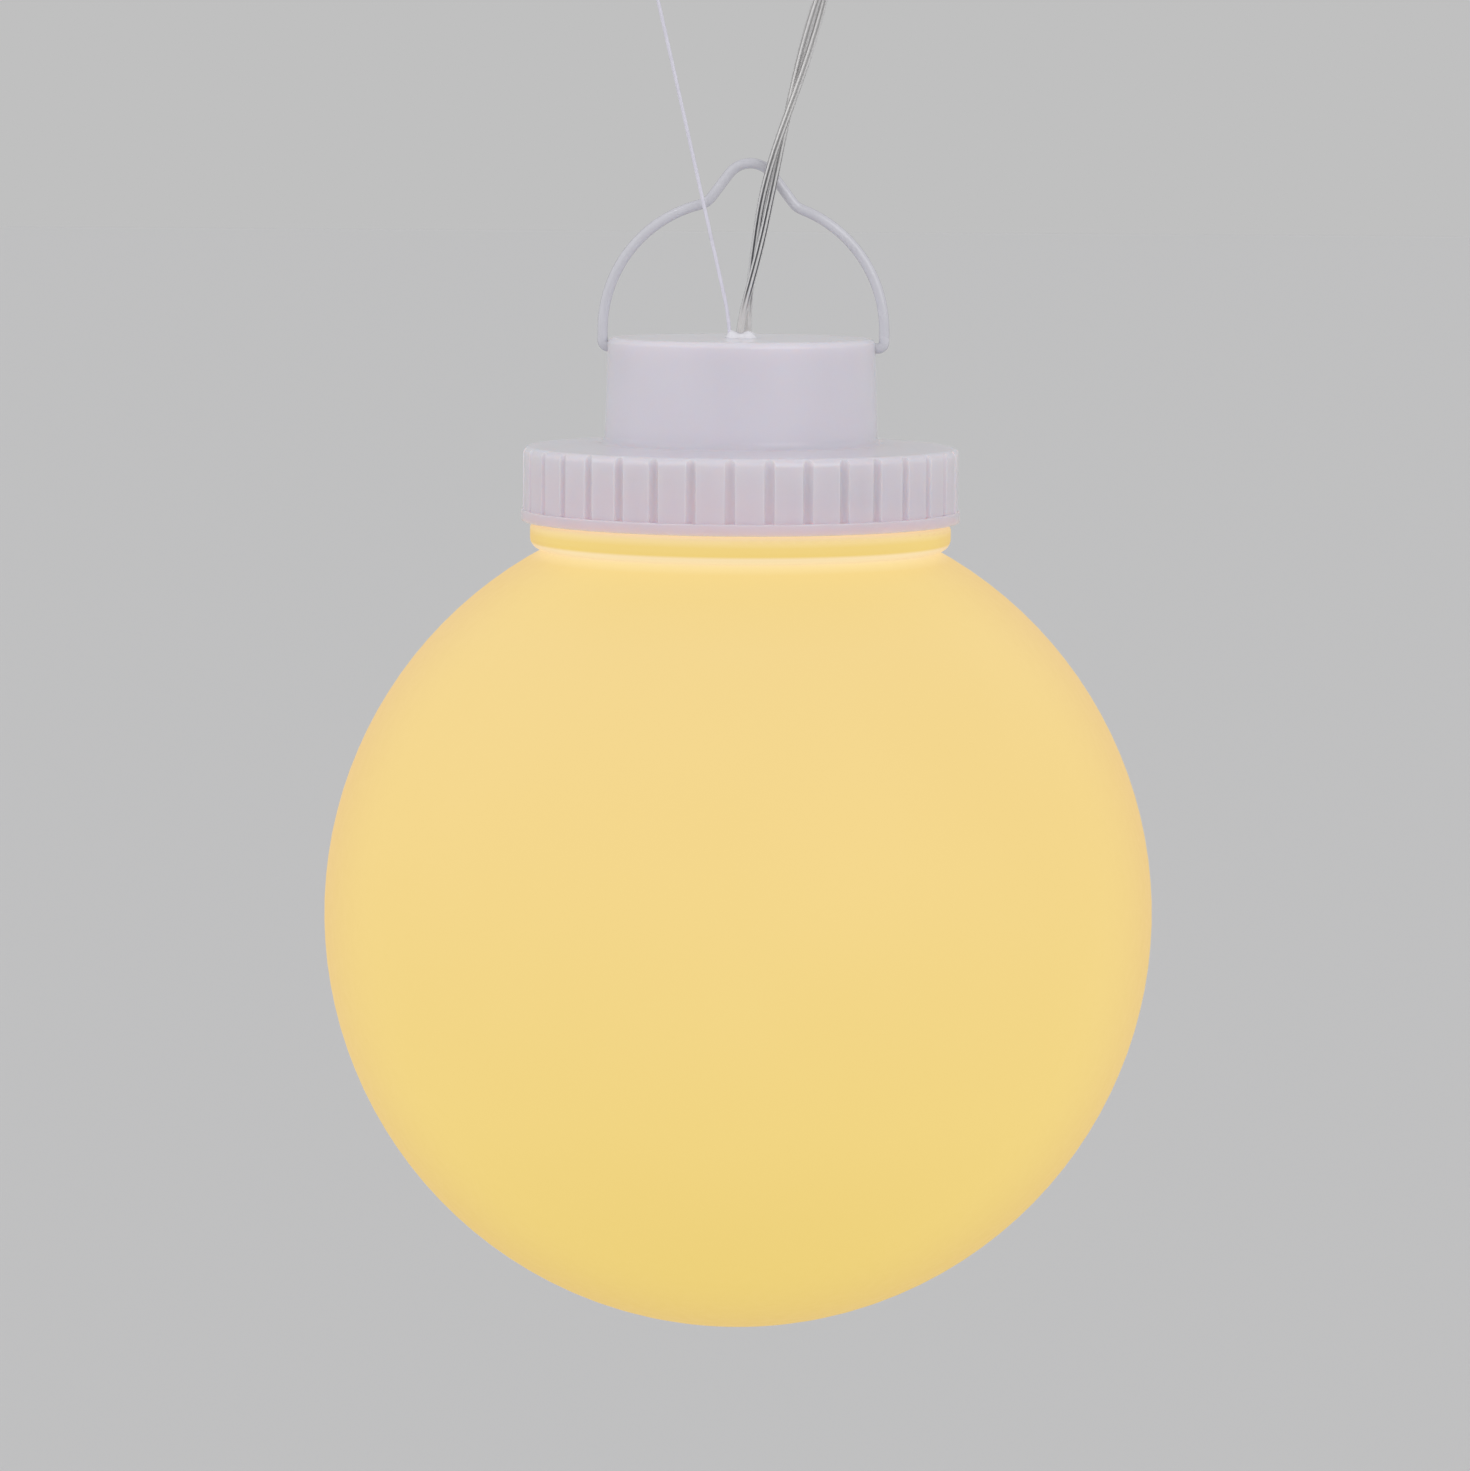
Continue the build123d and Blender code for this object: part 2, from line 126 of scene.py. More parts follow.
for value, socket in (
    (mixed(uneven, cloudy, given["Dark Colour"], given["Light Colour"]), "Colour"),
    (ranged(uneven, patchy, 0.7, 1.3, given["Smoothest"], given["Roughest"]), "Roughness"),
    (maths(uneven, "MULTIPLY_ADD", grain, 0.3, cloud), "Height"),
):
    uneven.links.new(value, result[socket])


def finish(
    name,
    light,
    dark,
    rough=(0.25, 0.45),
    cloud=120.0,
    grain=2500.0,
    bump=0.1,
    stretch=(1, 1, 1),
    **plain,
):
    """A surface finish on Object coordinates: its material, tree, uneven colour and shader."""
    made = bpy.data.materials.new(name)
    made.use_nodes = True
    tree = made.node_tree
    shader = tree.nodes["Principled BSDF"]
    place = add(tree, "ShaderNodeTexCoord").outputs["Object"]
    place = add(tree, "ShaderNodeMapping", {"Vector": place, "Scale": stretch}).outputs[0]
    surface = add(
        tree,
        "ShaderNodeGroup",
        {
            "Place": place,
            "Cloud Scale": cloud,
            "Grain Scale": grain,
            "Light Colour": (*light, 1),
            "Dark Colour": (*dark, 1),
            "Smoothest": rough[0],
            "Roughest": rough[1],
        },
        node_tree=uneven,
    ).outputs
    relief = add(
        tree,
        "ShaderNodeBump",
        {"Height": surface["Height"], "Strength": bump, "Distance": 0.1 * MM},
    )
    tree.links.new(surface["Colour"], shader.inputs["Base Color"])
    tree.links.new(surface["Roughness"], shader.inputs["Roughness"])
    tree.links.new(relief.outputs[0], shader.inputs["Normal"])
    for socket, value in plain.items():
        shader.inputs[socket.replace("_", " ")].default_value = value
    return made, tree, surface["Colour"], shader


def dress(node, made):
    """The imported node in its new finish."""
    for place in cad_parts[node].material_slots:
        place.material = made


cap_plastic, tree, tint, shader = finish(
    "cap_plastic",
    (0.755, 0.724, 0.787),
    (0.720, 0.687, 0.746),
    rough=(0.30, 0.42),
    cloud=45.0,
    grain=1800.0,
    bump=0.05,
    Subsurface_Weight=1.0,
    Subsurface_Scale=2 * MM,
    Subsurface_Radius=(1.0, 0.8, 0.7),
    IOR=1.49,
    Coat_Weight=0.7,
    Coat_Roughness=0.10,
)
height = own_axis(tree, "Z")
# Painted shade darkens the collar a little, and a painted glow of the neck's light tints its rim
# pink
collar_shade_share = ranged(tree, height, -10.5 * MM, -15.0 * MM, smooth=True)
rim_glow_share = ranged(tree, height, -15.9 * MM, -17.4 * MM, smooth=True)
plain_tint, collar_painted_shade, rim_painted_glow = (1, 1, 1, 1), (0.96, 0.94, 0.965, 1), (0.97, 0.87, 0.90, 1)
painted_glow_and_shade = mixed(tree, collar_shade_share, plain_tint, collar_painted_shade)
painted_glow_and_shade = mixed(tree, rim_glow_share, painted_glow_and_shade, rim_painted_glow)
tree.links.new(times(tree, tint, painted_glow_and_shade), shader.inputs["Base Color"])
dress("screw_cap", cap_plastic)


# ---- Collar thread ----
# One ridge of a real screw inside the collar, moulded with the cap: right-handed, 4 mm pitch,
# fading out at both ends. The globe's neck has the other ridge, made in the same way.
thread_tree, given, result = new_group(
    "ridge_round_a_cylinder",
    "GeometryNodeTree",
    [
        ("Geometry", "OUTPUT", "Geometry", None),
        ("Radius", "INPUT", "Float", 0.019),
        ("Pitch", "INPUT", "Float", 0.004),
        ("Turns", "INPUT", "Float", 0.75),
        ("Bottom", "INPUT", "Float", -0.0168),
        ("Start Angle", "INPUT", "Float", 0.0),
        ("Root Width", "INPUT", "Float", 0.0018),
        ("Crest Width", "INPUT", "Float", 0.0007),
        ("Depth", "INPUT", "Float", 0.0012),
        ("Finish", "INPUT", "Material", None),
    ],
)
helix = add(
    thread_tree,
    "GeometryNodeCurveSpiral",
    {
        "Resolution": 96,
        "Rotations": given["Turns"],
        "Start Radius": given["Radius"],
        "End Radius": given["Radius"],
        "Height": maths(thread_tree, "MULTIPLY", given["Pitch"], given["Turns"]),
    },
).outputs[0]
helix = add(thread_tree, "GeometryNodeSetCurveNormal", {"Curve": helix}, mode="Z_UP").outputs[0]
ridge = add(
    thread_tree,
    "GeometryNodeCurvePrimitiveQuadrilateral",
    {
        "Height": given["Depth"],
        "Bottom Width": given["Root Width"],
        "Top Width": given["Crest Width"],
        "Offset": 0.0,
    },
    mode="TRAPEZOID",
).outputs[0]
along = add(thread_tree, "GeometryNodeSplineParameter").outputs["Factor"]
off_middle = maths(thread_tree, "ABSOLUTE", maths(thread_tree, "SUBTRACT", along, 0.5))
fade = ranged(thread_tree, off_middle, 0.5, 0.38, 0.12, 1.0, smooth=True)
swept = add(
    thread_tree,
    "GeometryNodeCurveToMesh",
    {"Curve": helix, "Profile Curve": ridge, "Scale": fade, "Fill Caps": True},
).outputs[0]
turn = add(thread_tree, "ShaderNodeCombineXYZ", {"Z": given["Start Angle"]}).outputs[0]
lift = add(thread_tree, "ShaderNodeCombineXYZ", {"Z": given["Bottom"]}).outputs[0]
for kind, sockets in (
    ("GeometryNodeTransform", {"Translation": lift, "Rotation": turn}),
    ("GeometryNodeRealizeInstances", {}),
    ("GeometryNodeSetMaterial", {"Material": given["Finish"]}),
):
    swept = add(thread_tree, kind, {"Geometry": swept, **sockets}).outputs[0]
thread_tree.links.new(swept, result["Geometry"])


def grown(name, tree, **values):
    """A plain mesh piece made by a geometry tree with these inputs."""
    piece = bpy.data.objects.new(name, bpy.data.meshes.new(name))
    bpy.context.scene.collection.objects.link(piece)
    maker = piece.modifiers.new("maker", "NODES")
    maker.node_group = tree
    for socket in tree.interface.items_tree:
        if socket.in_out == "INPUT" and socket.name.replace(" ", "_") in values:
            maker[socket.identifier] = values[socket.name.replace(" ", "_")]
    graph = bpy.context.evaluated_depsgraph_get()
    grown_mesh = bpy.data.meshes.new_from_object(
        piece.evaluated_get(graph), preserve_all_data_layers=True, depsgraph=graph
    )
    piece.modifiers.clear()
    piece.data = grown_mesh
    return piece


one_screw = {"Pitch": 4.0 * MM, "Turns": 0.75, "Bottom": -16.8 * MM, "Depth": 1.2 * MM}
collar_thread = grown(
    "collar_thread",
    thread_tree,
    Radius=19.1 * MM,
    Start_Angle=math.pi,
    Root_Width=0.7 * MM,
    Crest_Width=1.8 * MM,
    Finish=cap_plastic,
    **one_screw,
)
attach(collar_thread, "cap")


# ---- Lead ----
# Two clear-sheathed strands of tinned copper wires, twisted half a turn in every 16.5 mm. They
# leave the cap through its sealed outlet and help to hang the light, so the lead is taut.
def spline_through(name, route):
    """A smooth NURBS curve on a route's points, which are in millimetres."""
    line = bpy.data.curves.new(name, "CURVE")
    line.dimensions = "3D"
    line.resolution_u = 24
    run = line.splines.new("NURBS")
    run.points.add(len(route) - 1)
    for point, place in zip(run.points, route):
        point.co = (*(c * MM for c in place), 1)
    run.order_u = 3
    run.use_endpoint_u = True
    piece = bpy.data.objects.new(name, line)
    bpy.context.scene.collection.objects.link(piece)
    return piece


def points_on(curve_piece):
    """The points that a curve without a bevel runs through."""
    bpy.context.view_layer.update()
    graph = bpy.context.evaluated_depsgraph_get()
    drawn = bpy.data.meshes.new_from_object(curve_piece.evaluated_get(graph))
    places = [v.co.copy() for v in drawn.vertices]
    bpy.data.meshes.remove(drawn)
    return places


def carried_frames(places):
    """For each point: itself, its distance along the path and two directions square to it."""
    frames = []
    gone = 0.0
    side = Vector((1, 0, 0))
    for i, place in enumerate(places):
        ahead = (places[min(i + 1, len(places) - 1)] - places[max(i - 1, 0)]).normalized()
        side = (side - ahead * side.dot(ahead)).normalized()
        if i:
            gone += (place - places[i - 1]).length
        frames.append((place, gone, side.copy(), ahead.cross(side)))
    return frames


def skin(name, rings, made):
    """A smooth skin over rings of points, capped at both ends, with UVs round and along it."""
    count = len(rings[0])
    last = len(rings) - 1
    vertices = [point for ring in rings for point in ring]
    faces, coordinates = [], []
    for i in range(last):
        below, above = i * count, (i + 1) * count
        for j in range(count):
            k = (j + 1) % count
            faces.append((below + j, below + k, above + k, above + j))
            corners = ((j, i), (j + 1, i), (j + 1, i + 1), (j, i + 1))
            coordinates += [(u / count, v / last) for u, v in corners]
    for ring, order in ((0, range(count - 1, -1, -1)), (last, range(count))):
        faces.append(tuple(ring * count + j for j in order))
        coordinates += [(j / count, ring / last) for j in order]
    mesh = bpy.data.meshes.new(name)
    mesh.from_pydata(vertices, [], faces)
    layer = mesh.uv_layers.new(name="wound")
    for loop, place in zip(layer.data, coordinates):
        loop.uv = place
    for face in mesh.polygons:
        face.use_smooth = len(face.vertices) == 4
    mesh.materials.append(made)
    mesh.validate()
    piece = bpy.data.objects.new(name, mesh)
    bpy.context.scene.collection.objects.link(piece)
    return piece


def joined(name, pieces):
    """Several meshes made one piece."""
    with bpy.context.temp_override(
        active_object=pieces[0], selected_editable_objects=pieces, selected_objects=pieces
    ):
        bpy.ops.object.join()
    pieces[0].name = name
    return pieces[0]


lead_route = [
    (0.15, 0.0, -1.6),
    (0.15, 0.0, 1.6),
    (1.28, -0.95, 7.4),
    (2.71, -1.80, 15.5),
    (5.52, -2.20, 25.5),
    (8.33, -2.50, 35.4),
]
strand_radius = 0.375 * MM
core_radius = 0.24 * MM
core_lobes = 4  # bundles of fine wires that show on a strand's core
lobe_height = 0.09  # of the core's radius
core_twist = 2 * math.pi / (160 * MM)  # turn of the fine wires for each length of lead
half_twist = 16.5 * MM  # length of lead in which its strands change sides
first_crossing = 6.7 * MM  # from the route's start to where one strand lies before the other
foot_gap = 0.15 * MM  # how far each strand stands off at the sealant
foot_length = 5.5 * MM
lead_spline = spline_through("lead_centre", lead_route)
lead_path = points_on(lead_spline)
bpy.data.objects.remove(lead_spline)
lead_frames = carried_frames(lead_path)

clear_sheath = finish(
    "clear_sheath",
    (0.95, 0.95, 0.96),
    (0.86, 0.86, 0.89),
    rough=(0.03, 0.08),
    cloud=200.0,
    grain=900.0,
    bump=0.02,
    stretch=(1, 1, 0.15),
    Transmission_Weight=1.0,
    IOR=1.42,
)[0]
tinned_core, tree, tint, shader = finish(
    "tinned_core",
    (0.95, 0.94, 0.93),
    (0.86, 0.85, 0.85),
    rough=(0.16, 0.26),
    cloud=300.0,
    grain=1200.0,
    bump=0.01,
    stretch=(1, 1, 0.1),
    Emission_Strength=0.13,
)
# Shadow lies between the bundles of wires, which its UV counts round the core
wound = add(tree, "ShaderNodeUVMap", uv_map="wound").outputs[0]
round_core = add(tree, "ShaderNodeSeparateXYZ", {0: wound}).outputs["X"]
lobes = maths(tree, "COSINE", maths(tree, "MULTIPLY", round_core, core_lobes * 2 * math.pi))
shadow, paler_higher_wires, sealed_wires = (
    (0.07, 0.07, 0.08, 1),
    (0.93, 0.91, 0.88, 1),
    (0.95, 0.93, 0.90, 1),
)
streaked = mixed(tree, ranged(tree, lobes, -0.7, 0.5), shadow, tint)
level = own_axis(tree, "Z")
# Higher up the core is paler; at the foot sealant has crept up between the wires
upper = ranged(tree, level, 11.0 * MM, 23.0 * MM, 0.0, 0.5, smooth=True)
soaked = ranged(tree, level, 5.0 * MM, 1.5 * MM, smooth=True)
streaked = mixed(tree, upper, streaked, paler_higher_wires)
streaked = mixed(tree, soaked, streaked, sealed_wires)
tree.links.new(streaked, shader.inputs["Base Color"])
# A faint painted glow on the wires stands in for the light that the clear sheath gathers onto them
tree.links.new(streaked, shader.inputs["Emission Color"])
tree.links.new(ranged(tree, soaked, 0.0, 1.0, 0.6, 0.0), shader.inputs["Metallic"])


def strand(name, made, radius, lobes, turns):
    """Both strands' skin at one radius; lobes are the bundles of wires that show on it."""
    halves = []
    count = 28 if lobes else 16
    for way in (1, -1):
        rings = []
        for place, gone, side, up in lead_frames:
            angle = math.pi * (0.5 + (gone - first_crossing) / half_twist)
            spread = strand_radius + foot_gap * max(0.0, 1 - gone / foot_length)
            centre = place + way * spread * (side * math.cos(angle) + up * math.sin(angle))
            ring = []
            for j in range(count):
                a = 2 * math.pi * j / count
                r = radius * (1 + (lobe_height * math.cos(lobes * a) if lobes else 0))
                b = a + turns * gone
                ring.append(centre + r * (side * math.cos(b) + up * math.sin(b)))
            rings.append(ring)
        halves.append(skin(name, rings, made))
    return joined(name, halves)


lead_sheath = strand("lead_sheath", clear_sheath, strand_radius, 0, 0)
lead_core = strand("lead_core", tinned_core, core_radius, core_lobes, core_twist)
for piece in (lead_sheath, lead_core):
    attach(piece, "cap")
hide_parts("supply_lead")


# ---- Plug ----
# A small round low-voltage plug, moulded on the lead's end: ribbed boot, fluted body, a plated
# sleeve and a tubular inner contact with an insulator between.
plug_plastic = finish(
    "plug_plastic",
    (0.045, 0.045, 0.050),
    (0.025, 0.025, 0.028),
    rough=(0.35, 0.6),
    cloud=300,
    grain=3500,
    bump=0.25,
)[0]
contact_metal = finish(
    "contact_metal",
    (0.80, 0.78, 0.74),
    (0.66, 0.64, 0.60),
    rough=(0.12, 0.28),
    cloud=300,
    grain=2000,
    bump=0.04,
    stretch=(1, 1, 0.15),
    Metallic=1.0,
)[0]
for node in ("plug_boot", "plug_shell", "plug_insulator"):
    dress(node, plug_plastic)
for node in ("plug_barrel", "plug_contact"):
    dress(node, contact_metal)


# ---- Hanging line ----
# A thin white nylon line. A crimped bead stops it under the cap's top, and its far end is
# tied into a loop for a hook.
line_route = [
    (-1.05, -0.65, -1.65),
    (-1.05, -0.65, 1.5),
    (-2.27, -1.00, 6.75),
    (-3.99, -1.35, 14.3),
    (-6.44, -1.90, 25.1),
    (-8.90, -2.35, 35.7),
]
line_nylon = finish(
    "line_nylon",
    (0.80, 0.78, 0.87),
    (0.75, 0.73, 0.82),
    rough=(0.22, 0.38),
    cloud=500,
    grain=3000,
    bump=0.1,
    Coat_Weight=0.3,
)[0]
line_radius = 0.175 * MM
hanging_line = spline_through("nylon_line", line_route)
hanging_line.data.bevel_depth = line_radius
hanging_line.data.bevel_resolution = 4
hanging_line.data.use_fill_caps = True
hanging_line.data.materials.append(line_nylon)
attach(hanging_line, "cap")
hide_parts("hanging_line")

line_end = Vector(line_route[-1]) * MM
loop_up = (line_end - Vector(line_route[-2]) * MM).normalized()
loop_side = (Vector((1, 0, 0)) - loop_up * loop_up.x).normalized()
loop_axes = Matrix((loop_side, loop_up.cross(loop_side), loop_up)).transposed().to_4x4()
loop_place = Matrix.Translation(line_end) @ loop_axes


def round_rings(places, radius, count=12):
    """Round rings of one radius along a path."""
    rings = []
    for place, gone, side, up in carried_frames(places):
        turns = (2 * math.pi * j / count for j in range(count))
        rings.append([place + radius * (side * math.cos(a) + up * math.sin(a)) for a in turns])
    return rings


# The loop and its knot, in millimetres from the line's end: up from the knot, round and back
eye_width, eye_taper, eye_sway = 2.2, 0.35, 0.12
eye_middle, eye_height = 5.9, 5.3
loop_line = []
for step in range(121):
    a = math.pi * 2 * step / 120
    across = -eye_width * math.sin(a) * (1 - eye_taper * math.cos(a))
    loop_line.append(
        Vector((across, eye_sway * math.sin(2 * a), eye_middle - eye_height * math.cos(a)))
    )
knot_radius, knot_foot, knot_height, knot_turns = 0.42, 0.05, 1.6, 4.5
knot_wraps = []
for step in range(241):
    a = 2 * math.pi * knot_turns * step / 240
    up = knot_foot + knot_height * step / 240
    knot_wraps.append(Vector((knot_radius * math.cos(a), knot_radius * math.sin(a), up)))
tied = []
for places in (loop_line, knot_wraps):
    places = [loop_place @ (place * MM) for place in places]
    tied.append(skin("line_loop", round_rings(places, line_radius), line_nylon))
line_loop = joined("line_knot_and_loop", tied)
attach(line_loop, "cap")
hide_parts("line_loop")


# ---- Sealant ----
# Milky clear sealant fills the outlet round the lead and the line and stands a little proud,
# with a wet-looking lump against each of them.
sealant = finish(
    "sealant",
    (0.91, 0.90, 0.94),
    (0.84, 0.83, 0.87),
    rough=(0.10, 0.24),
    cloud=500,
    grain=2500,
    bump=0.1,
    Coat_Weight=0.4,
)[0]
lumps = [  # across, back, radius, height, in millimetres
    (0.15, 0.0, 1.40, 0.50),
    (-1.05, -0.65, 0.75, 0.75),
    (0.75, -0.25, 0.85, 0.45),
    (-0.40, -0.35, 0.80, 0.40),
    (0.25, 0.75, 0.70, 0.45),
    (1.05, 0.35, 0.50, 0.40),
    (-0.55, 0.75, 0.60, 0.35),
]
hole_radius, crown_radius, tallest = 1.40, 1.62, 1.05
around = [2 * math.pi * j / 64 for j in range(64)]
rings = [
    [Vector((hole_radius * math.cos(a), hole_radius * math.sin(a), -0.25)) * MM for a in around]
]
for step in range(18):  # from the crown's edge to its middle
    ring = []
    for a in around:
        edge = crown_radius + 0.12 * math.cos(3 * a + 0.7) + 0.07 * math.cos(5 * a + 2.1)
        r = edge * (1 - step / 17.5)
        x, y = r * math.cos(a), r * math.sin(a)
        height = 0.0
        for across, back, size, tall in lumps:
            near = max(0.0, 1 - ((x - across) ** 2 + (y - back) ** 2) / size**2)
            height += tall * near * near * (1 - 0.8 * height)
        height = min(height, tallest) * min(1.0, step / 3.0) + 0.02
        ring.append(Vector((x, y, height)) * MM)
    rings.append(ring)
seal_crown = skin("seal_crown", rings, sealant)
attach(seal_crown, "cap")
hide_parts("outlet_seal")


# ---- Bail ----
# One piece of 1 mm spring wire, bent and then dipped in white plastic, sprung into two blind
# sockets near the turret's top. Its colour is painted darker towards its edges as painted shade.
bail_coating, tree, tint, shader = finish(
    "bail_coating",
    (0.67, 0.665, 0.71),
    (0.62, 0.615, 0.66),
    rough=(0.16, 0.30),
    cloud=260,
    grain=1500,
    bump=0.2,
    Coat_Weight=1.0,
    Coat_Roughness=0.08,
)
# Painted shade: the colour darkens where the wire is seen at a glancing angle
rim = add(tree, "ShaderNodeLayerWeight", {"Blend": 0.5}).outputs["Facing"]
rim = ranged(tree, rim, 0.45, 0.95, smooth=True)
painted_edge_shade = times(tree, tint, (0.58, 0.58, 0.60, 1))
tree.links.new(mixed(tree, rim, tint, painted_edge_shade), shader.inputs["Base Color"])
dress("bail_wire", bail_coating)


# ---- Lamp, its holder and its wiring ----
# A 5 mm lamp stands head down in a white moulded holder, which two screws pull against the
# cap's bosses. Its pins run level to the joints with the lead's strands; one has a resistor.
white_plastic = finish(
    "white_plastic",
    (0.82, 0.82, 0.80),
    (0.76, 0.76, 0.74),
    rough=(0.30, 0.45),
    cloud=160,
    grain=2200,
    bump=0.12,
)[0]
screw_steel = finish(
    "screw_steel",
    (0.62, 0.62, 0.64),
    (0.46, 0.46, 0.50),
    rough=(0.22, 0.42),
    cloud=500,
    grain=3000,
    bump=0.15,
    Metallic=1.0,
)[0]
lamp_resin = finish(
    "lamp_resin",
    (0.95, 0.90, 0.70),
    (0.93, 0.82, 0.52),
    rough=(0.05, 0.15),
    cloud=300,
    bump=0.03,
    Emission_Color=(1.0, 0.78, 0.42, 1),
    Emission_Strength=0.6,
    Coat_Weight=0.6,
)[0]
tinned_wire = finish(
    "tinned_wire",
    (0.72, 0.72, 0.73),
    (0.55, 0.55, 0.57),
    rough=(0.25, 0.45),
    cloud=900,
    grain=4000,
    bump=0.2,
    Metallic=1.0,
)[0]
sleeve_plastic = finish(
    "sleeve_plastic",
    (0.05, 0.05, 0.05),
    (0.03, 0.03, 0.03),
    rough=(0.45, 0.65),
    cloud=900,
    grain=3500,
    bump=0.5,
)[0]
crimp_metal = finish(
    "crimp_metal",
    (0.74, 0.74, 0.75),
    (0.60, 0.60, 0.62),
    rough=(0.25, 0.5),
    cloud=900,
    bump=0.6,
    Metallic=1.0,
)[0]
resistor_paint, tree, painted, shader = finish(
    "resistor_paint",
    (0.66, 0.50, 0.30),
    (0.58, 0.42, 0.24),
    rough=(0.30, 0.45),
    cloud=700,
    bump=0.3,
)
across = own_axis(tree, "X")
for middle, band in (
    (3.65, (0.55, 0.06, 0.03, 1)),
    (4.25, (0.30, 0.04, 0.35, 1)),
    (4.85, (0.10, 0.03, 0.01, 1)),
    (5.75, (0.60, 0.38, 0.06, 1)),
):
    away = maths(tree, "ABSOLUTE", maths(tree, "SUBTRACT", across, middle * MM))
    painted = mixed(tree, ranged(tree, away, 0.19 * MM, 0.15 * MM), painted, band)
bare_end = ranged(tree, across, 6.38 * MM, 6.42 * MM)  # past the body its tinned end shows
painted = mixed(tree, bare_end, painted, (0.70, 0.70, 0.71, 1))
tree.links.new(painted, shader.inputs["Base Color"])
tree.links.new(bare_end, shader.inputs["Metallic"])
for node, made in (
    ("lamp_holder", white_plastic),
    ("holder_screws", screw_steel),
    ("led_lens", lamp_resin),
    ("led_pins", tinned_wire),
    ("series_resistor", resistor_paint),
    ("joint_sleeves", sleeve_plastic),
    ("inner_wires", clear_sheath),
    ("lead_crimp", crimp_metal),
    ("line_stop", crimp_metal),
):
    dress(node, made)


# ---- Globe ----
# Blown opal plastic with a bead under its threaded neck, screwed into the collar. The lamp fills
# it with an even warm light, darker and warmer towards the bottom and paler near the lamp, with
# bands of painted highlight from light above on the bead's top and just under the bead; its
# outside is smooth and satin.
opal_globe, tree, tint, shader = finish(
    "opal_globe",
    (0.185, 0.175, 0.130),
    (0.175, 0.163, 0.118),
    rough=(0.42, 0.50),
    cloud=30,
    grain=900,
    bump=0.01,
    Emission_Strength=1.0,
    IOR=1.33,
)
level = own_axis(tree, "Z")
lower = add(tree, "ShaderNodeValToRGB", {"Fac": ranged(tree, level, -95 * MM, -23 * MM)})
# Towards the neck the glow is paler nearest the lamp, with painted highlight bands on the bead's
# top and just under the bead
neck_glow_and_highlight = add(tree, "ShaderNodeValToRGB", {"Fac": ranged(tree, level, -24 * MM, -17.4 * MM)})
for ramp, steps in (
    (
        lower,
        (
            (0.0, (0.71, 0.505, 0.085, 1)),
            (0.35, (0.745, 0.535, 0.125, 1)),
            (0.75, (0.745, 0.525, 0.145, 1)),
            (0.94, (0.745, 0.53, 0.165, 1)),
            (1.0, (0.745, 0.53, 0.155, 1)),
        ),
    ),
    (
        neck_glow_and_highlight,
        (
            (0.0, (0.745, 0.53, 0.155, 1)),
            (0.44, (0.745, 0.535, 0.165, 1)),
            (0.52, (0.77, 0.58, 0.24, 1)),
            (0.58, (0.785, 0.615, 0.35, 1)),
            (0.66, (0.785, 0.615, 0.36, 1)),
            (0.70, (0.71, 0.50, 0.11, 1)),
            (0.81, (0.72, 0.51, 0.12, 1)),
            (0.90, (0.765, 0.57, 0.24, 1)),
            (1.0, (0.78, 0.62, 0.46, 1)),
        ),
    ),
):
    stops = ramp.color_ramp.elements
    stops[0].color, stops[1].color = steps[0][1], steps[-1][1]
    for position, colour in steps[1:-1]:
        stops.new(position).color = colour
above_join = ranged(tree, level, -23.2 * MM, -22.8 * MM)
glow = mixed(tree, above_join, lower.outputs[0], neck_glow_and_highlight.outputs[0])
# Less light, and warmer, leaves the wall at a glancing angle
glancing = add(tree, "ShaderNodeLayerWeight", {"Blend": 0.5}).outputs["Facing"]
glancing = ranged(tree, glancing, 0.5, 1.0, smooth=True)
glow = mixed(tree, glancing, glow, times(tree, glow, (0.875, 0.80, 0.80, 1)))
# On the neck the sides of the thread, which face up and down, are painted darker and deeper in
# colour as painted shade
normal = add(tree, "ShaderNodeNewGeometry").outputs["Normal"]
lean = add(tree, "ShaderNodeSeparateXYZ", {0: normal}).outputs["Z"]
lean = ranged(tree, maths(tree, "ABSOLUTE", lean), 0.0, 0.8)
on_neck = ranged(tree, level, -17.6 * MM, -17.2 * MM)
flank_painted_shade = maths(tree, "MULTIPLY", lean, on_neck)
glow = mixed(tree, flank_painted_shade, glow, times(tree, glow, (0.86, 0.72, 0.50, 1)))
tree.links.new(glow, shader.inputs["Emission Color"])
dress("globe_shell", opal_globe)

neck_thread = grown(
    "neck_thread",
    thread_tree,
    Radius=18.5 * MM,
    Start_Angle=0.0,
    Root_Width=1.8 * MM,
    Crest_Width=0.7 * MM,
    Finish=opal_globe,
    **one_screw,
)
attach(neck_thread, "globe")


# ---- Gasket ----
# A soft ring of translucent white silicone, pressed between the neck's rim and the ceiling of
# the cap; it stays on the neck when the globe is unscrewed.
gasket_rubber = finish(
    "gasket_rubber",
    (0.74, 0.74, 0.73),
    (0.66, 0.66, 0.65),
    rough=(0.45, 0.6),
    cloud=200,
    bump=0.2,
    Subsurface_Weight=0.4,
    Subsurface_Scale=1 * MM,
)[0]
dress("neck_gasket", gasket_rubber)


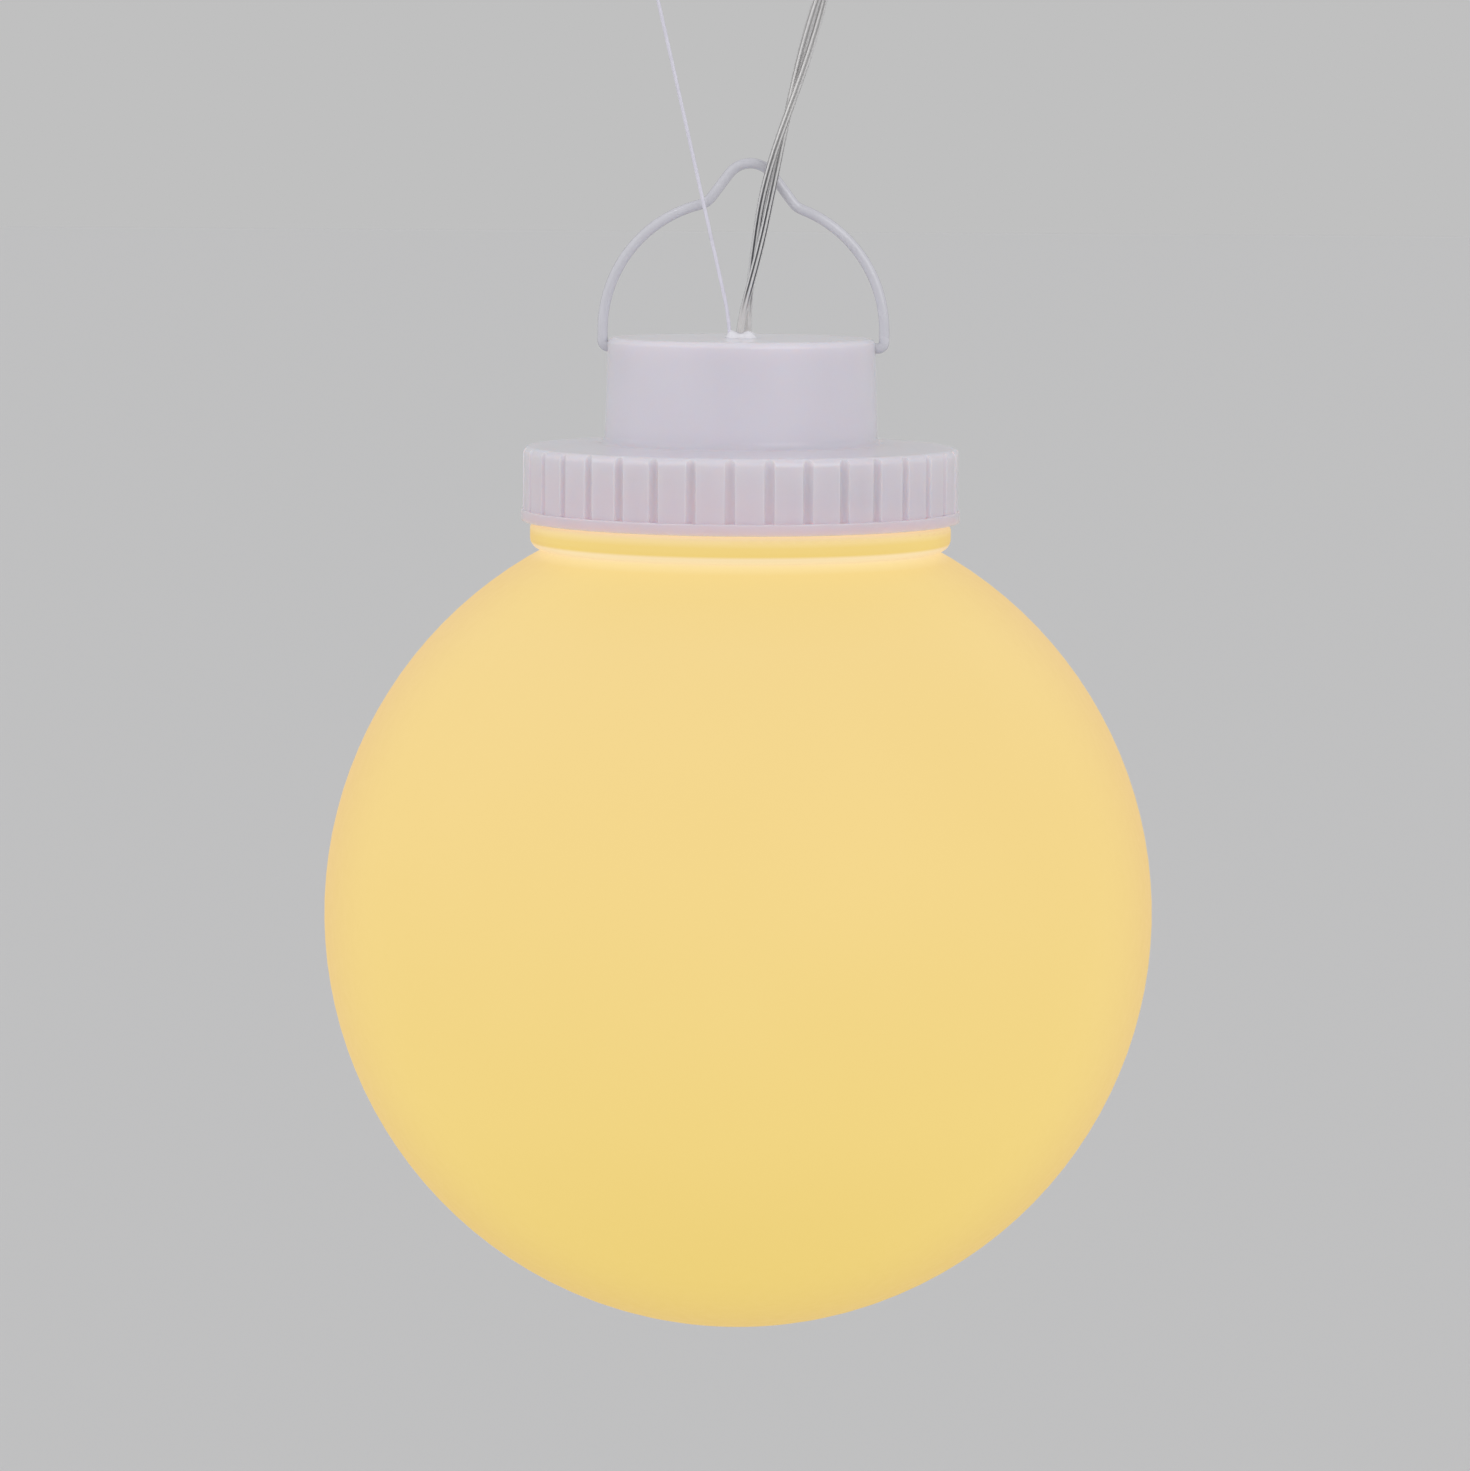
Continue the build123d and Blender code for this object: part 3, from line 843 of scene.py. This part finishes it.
# ---- Studio ----
# A plain pale floor well below the hanging light, a grey backdrop, soft light from everywhere
# and four soft lamps: two broad ones at the sides, two small ones above.
backdrop = 0.527
world = bpy.data.worlds.new("studio")
bpy.context.scene.world = world
world.use_nodes = True
tree = world.node_tree
soft = tree.nodes["Background"]
soft.inputs["Color"].default_value = (0.97, 0.97, 1.0, 1)
direction = add(tree, "ShaderNodeTexCoord").outputs["Generated"]
upwards = add(tree, "ShaderNodeSeparateXYZ", {0: direction}).outputs["Z"]
dimmer_overhead = ranged(tree, upwards, 0.0, 1.0, 0.95, 0.55)
tree.links.new(dimmer_overhead, soft.inputs["Strength"])
backdrop_colour = (backdrop, backdrop, backdrop, 1)
seen = add(tree, "ShaderNodeBackground", {"Color": backdrop_colour, "Strength": 1.0})
rays = add(tree, "ShaderNodeLightPath").outputs
looks = maths(tree, "MAXIMUM", rays["Is Camera Ray"], rays["Is Glossy Ray"])
looks = maths(tree, "MAXIMUM", looks, rays["Is Transmission Ray"])
choice = add(tree, "ShaderNodeMixShader", {0: looks, 1: soft.outputs[0], 2: seen.outputs[0]})
tree.links.new(choice.outputs[0], tree.nodes["World Output"].inputs[0])

floor_level, floor_reach = -0.35, 30
floor_mesh = bpy.data.meshes.new("floor")
floor_mesh.from_pydata(
    [
        (x * floor_reach, y * floor_reach, floor_level)
        for x, y in ((-1, -1), (1, -1), (1, 1), (-1, 1))
    ],
    [],
    [(0, 1, 2, 3)],
)
floor = bpy.data.objects.new("floor", floor_mesh)
bpy.context.scene.collection.objects.link(floor)
floor_paint = bpy.data.materials.new("floor_paint")
floor_paint.use_nodes = True
tree = floor_paint.node_tree
paint = tree.nodes["Principled BSDF"]
paint.inputs["Base Color"].default_value = (0.664, 0.664, 0.652, 1)
paint.inputs["Roughness"].default_value = 1.0
paint.inputs["Specular IOR Level"].default_value = 0.0
under = add(tree, "ShaderNodeNewGeometry").outputs["Backfacing"]
clear = add(tree, "ShaderNodeBsdfTransparent").outputs[0]
sides = add(tree, "ShaderNodeMixShader", {0: under, 1: paint.outputs[0], 2: clear})
tree.links.new(sides.outputs[0], tree.nodes["Material Output"].inputs[0])
floor_mesh.materials.append(floor_paint)

for name, strength, azimuth, elevation, spread in (
    ("key_light", 0.48, 40, 24, 45),
    ("fill_light", 0.58, -66, 8, 90),
    ("top_light", 0.045, -40, 50, 8),
    ("back_light", 0.03, 168, 65, 22),
):
    lamp = bpy.data.lights.new(name, "SUN")
    lamp.energy = strength
    lamp.angle = math.radians(spread)
    hung = bpy.data.objects.new(name, lamp)
    a, e = math.radians(azimuth), math.radians(elevation)
    towards = Vector((math.sin(a) * math.cos(e), -math.cos(a) * math.cos(e), math.sin(e)))
    hung.rotation_euler = towards.to_track_quat("Z", "Y").to_euler()
    bpy.context.scene.collection.objects.link(hung)

# The photograph is taken from just above the cap, a little from the right and slightly turned
camera_data = bpy.data.cameras.new("camera")
camera_data.sensor_width = 36
camera_data.lens = 114.8
camera_data.clip_start, camera_data.clip_end = 0.05, 200
camera = bpy.data.objects.new("camera", camera_data)
bpy.context.scene.collection.objects.link(camera)
distance, camera_height, aim_height, aim_left = 0.45, 0.0155, -0.0383, 0.0004
turned, rolled = math.radians(2.7), math.radians(0.35)
right = Vector((math.cos(turned), math.sin(turned), 0))
camera.location = Vector(
    (distance * math.sin(turned), -distance * math.cos(turned), camera_height)
)
aim = Vector((0, 0, aim_height)) - right * aim_left
look = (aim - camera.location).to_track_quat("-Z", "Y")
camera.rotation_mode = "QUATERNION"
camera.rotation_quaternion = look @ Matrix.Rotation(rolled, 4, "Z").to_quaternion()
bpy.context.scene.camera = camera
bpy.context.scene.view_settings.view_transform = "Standard"
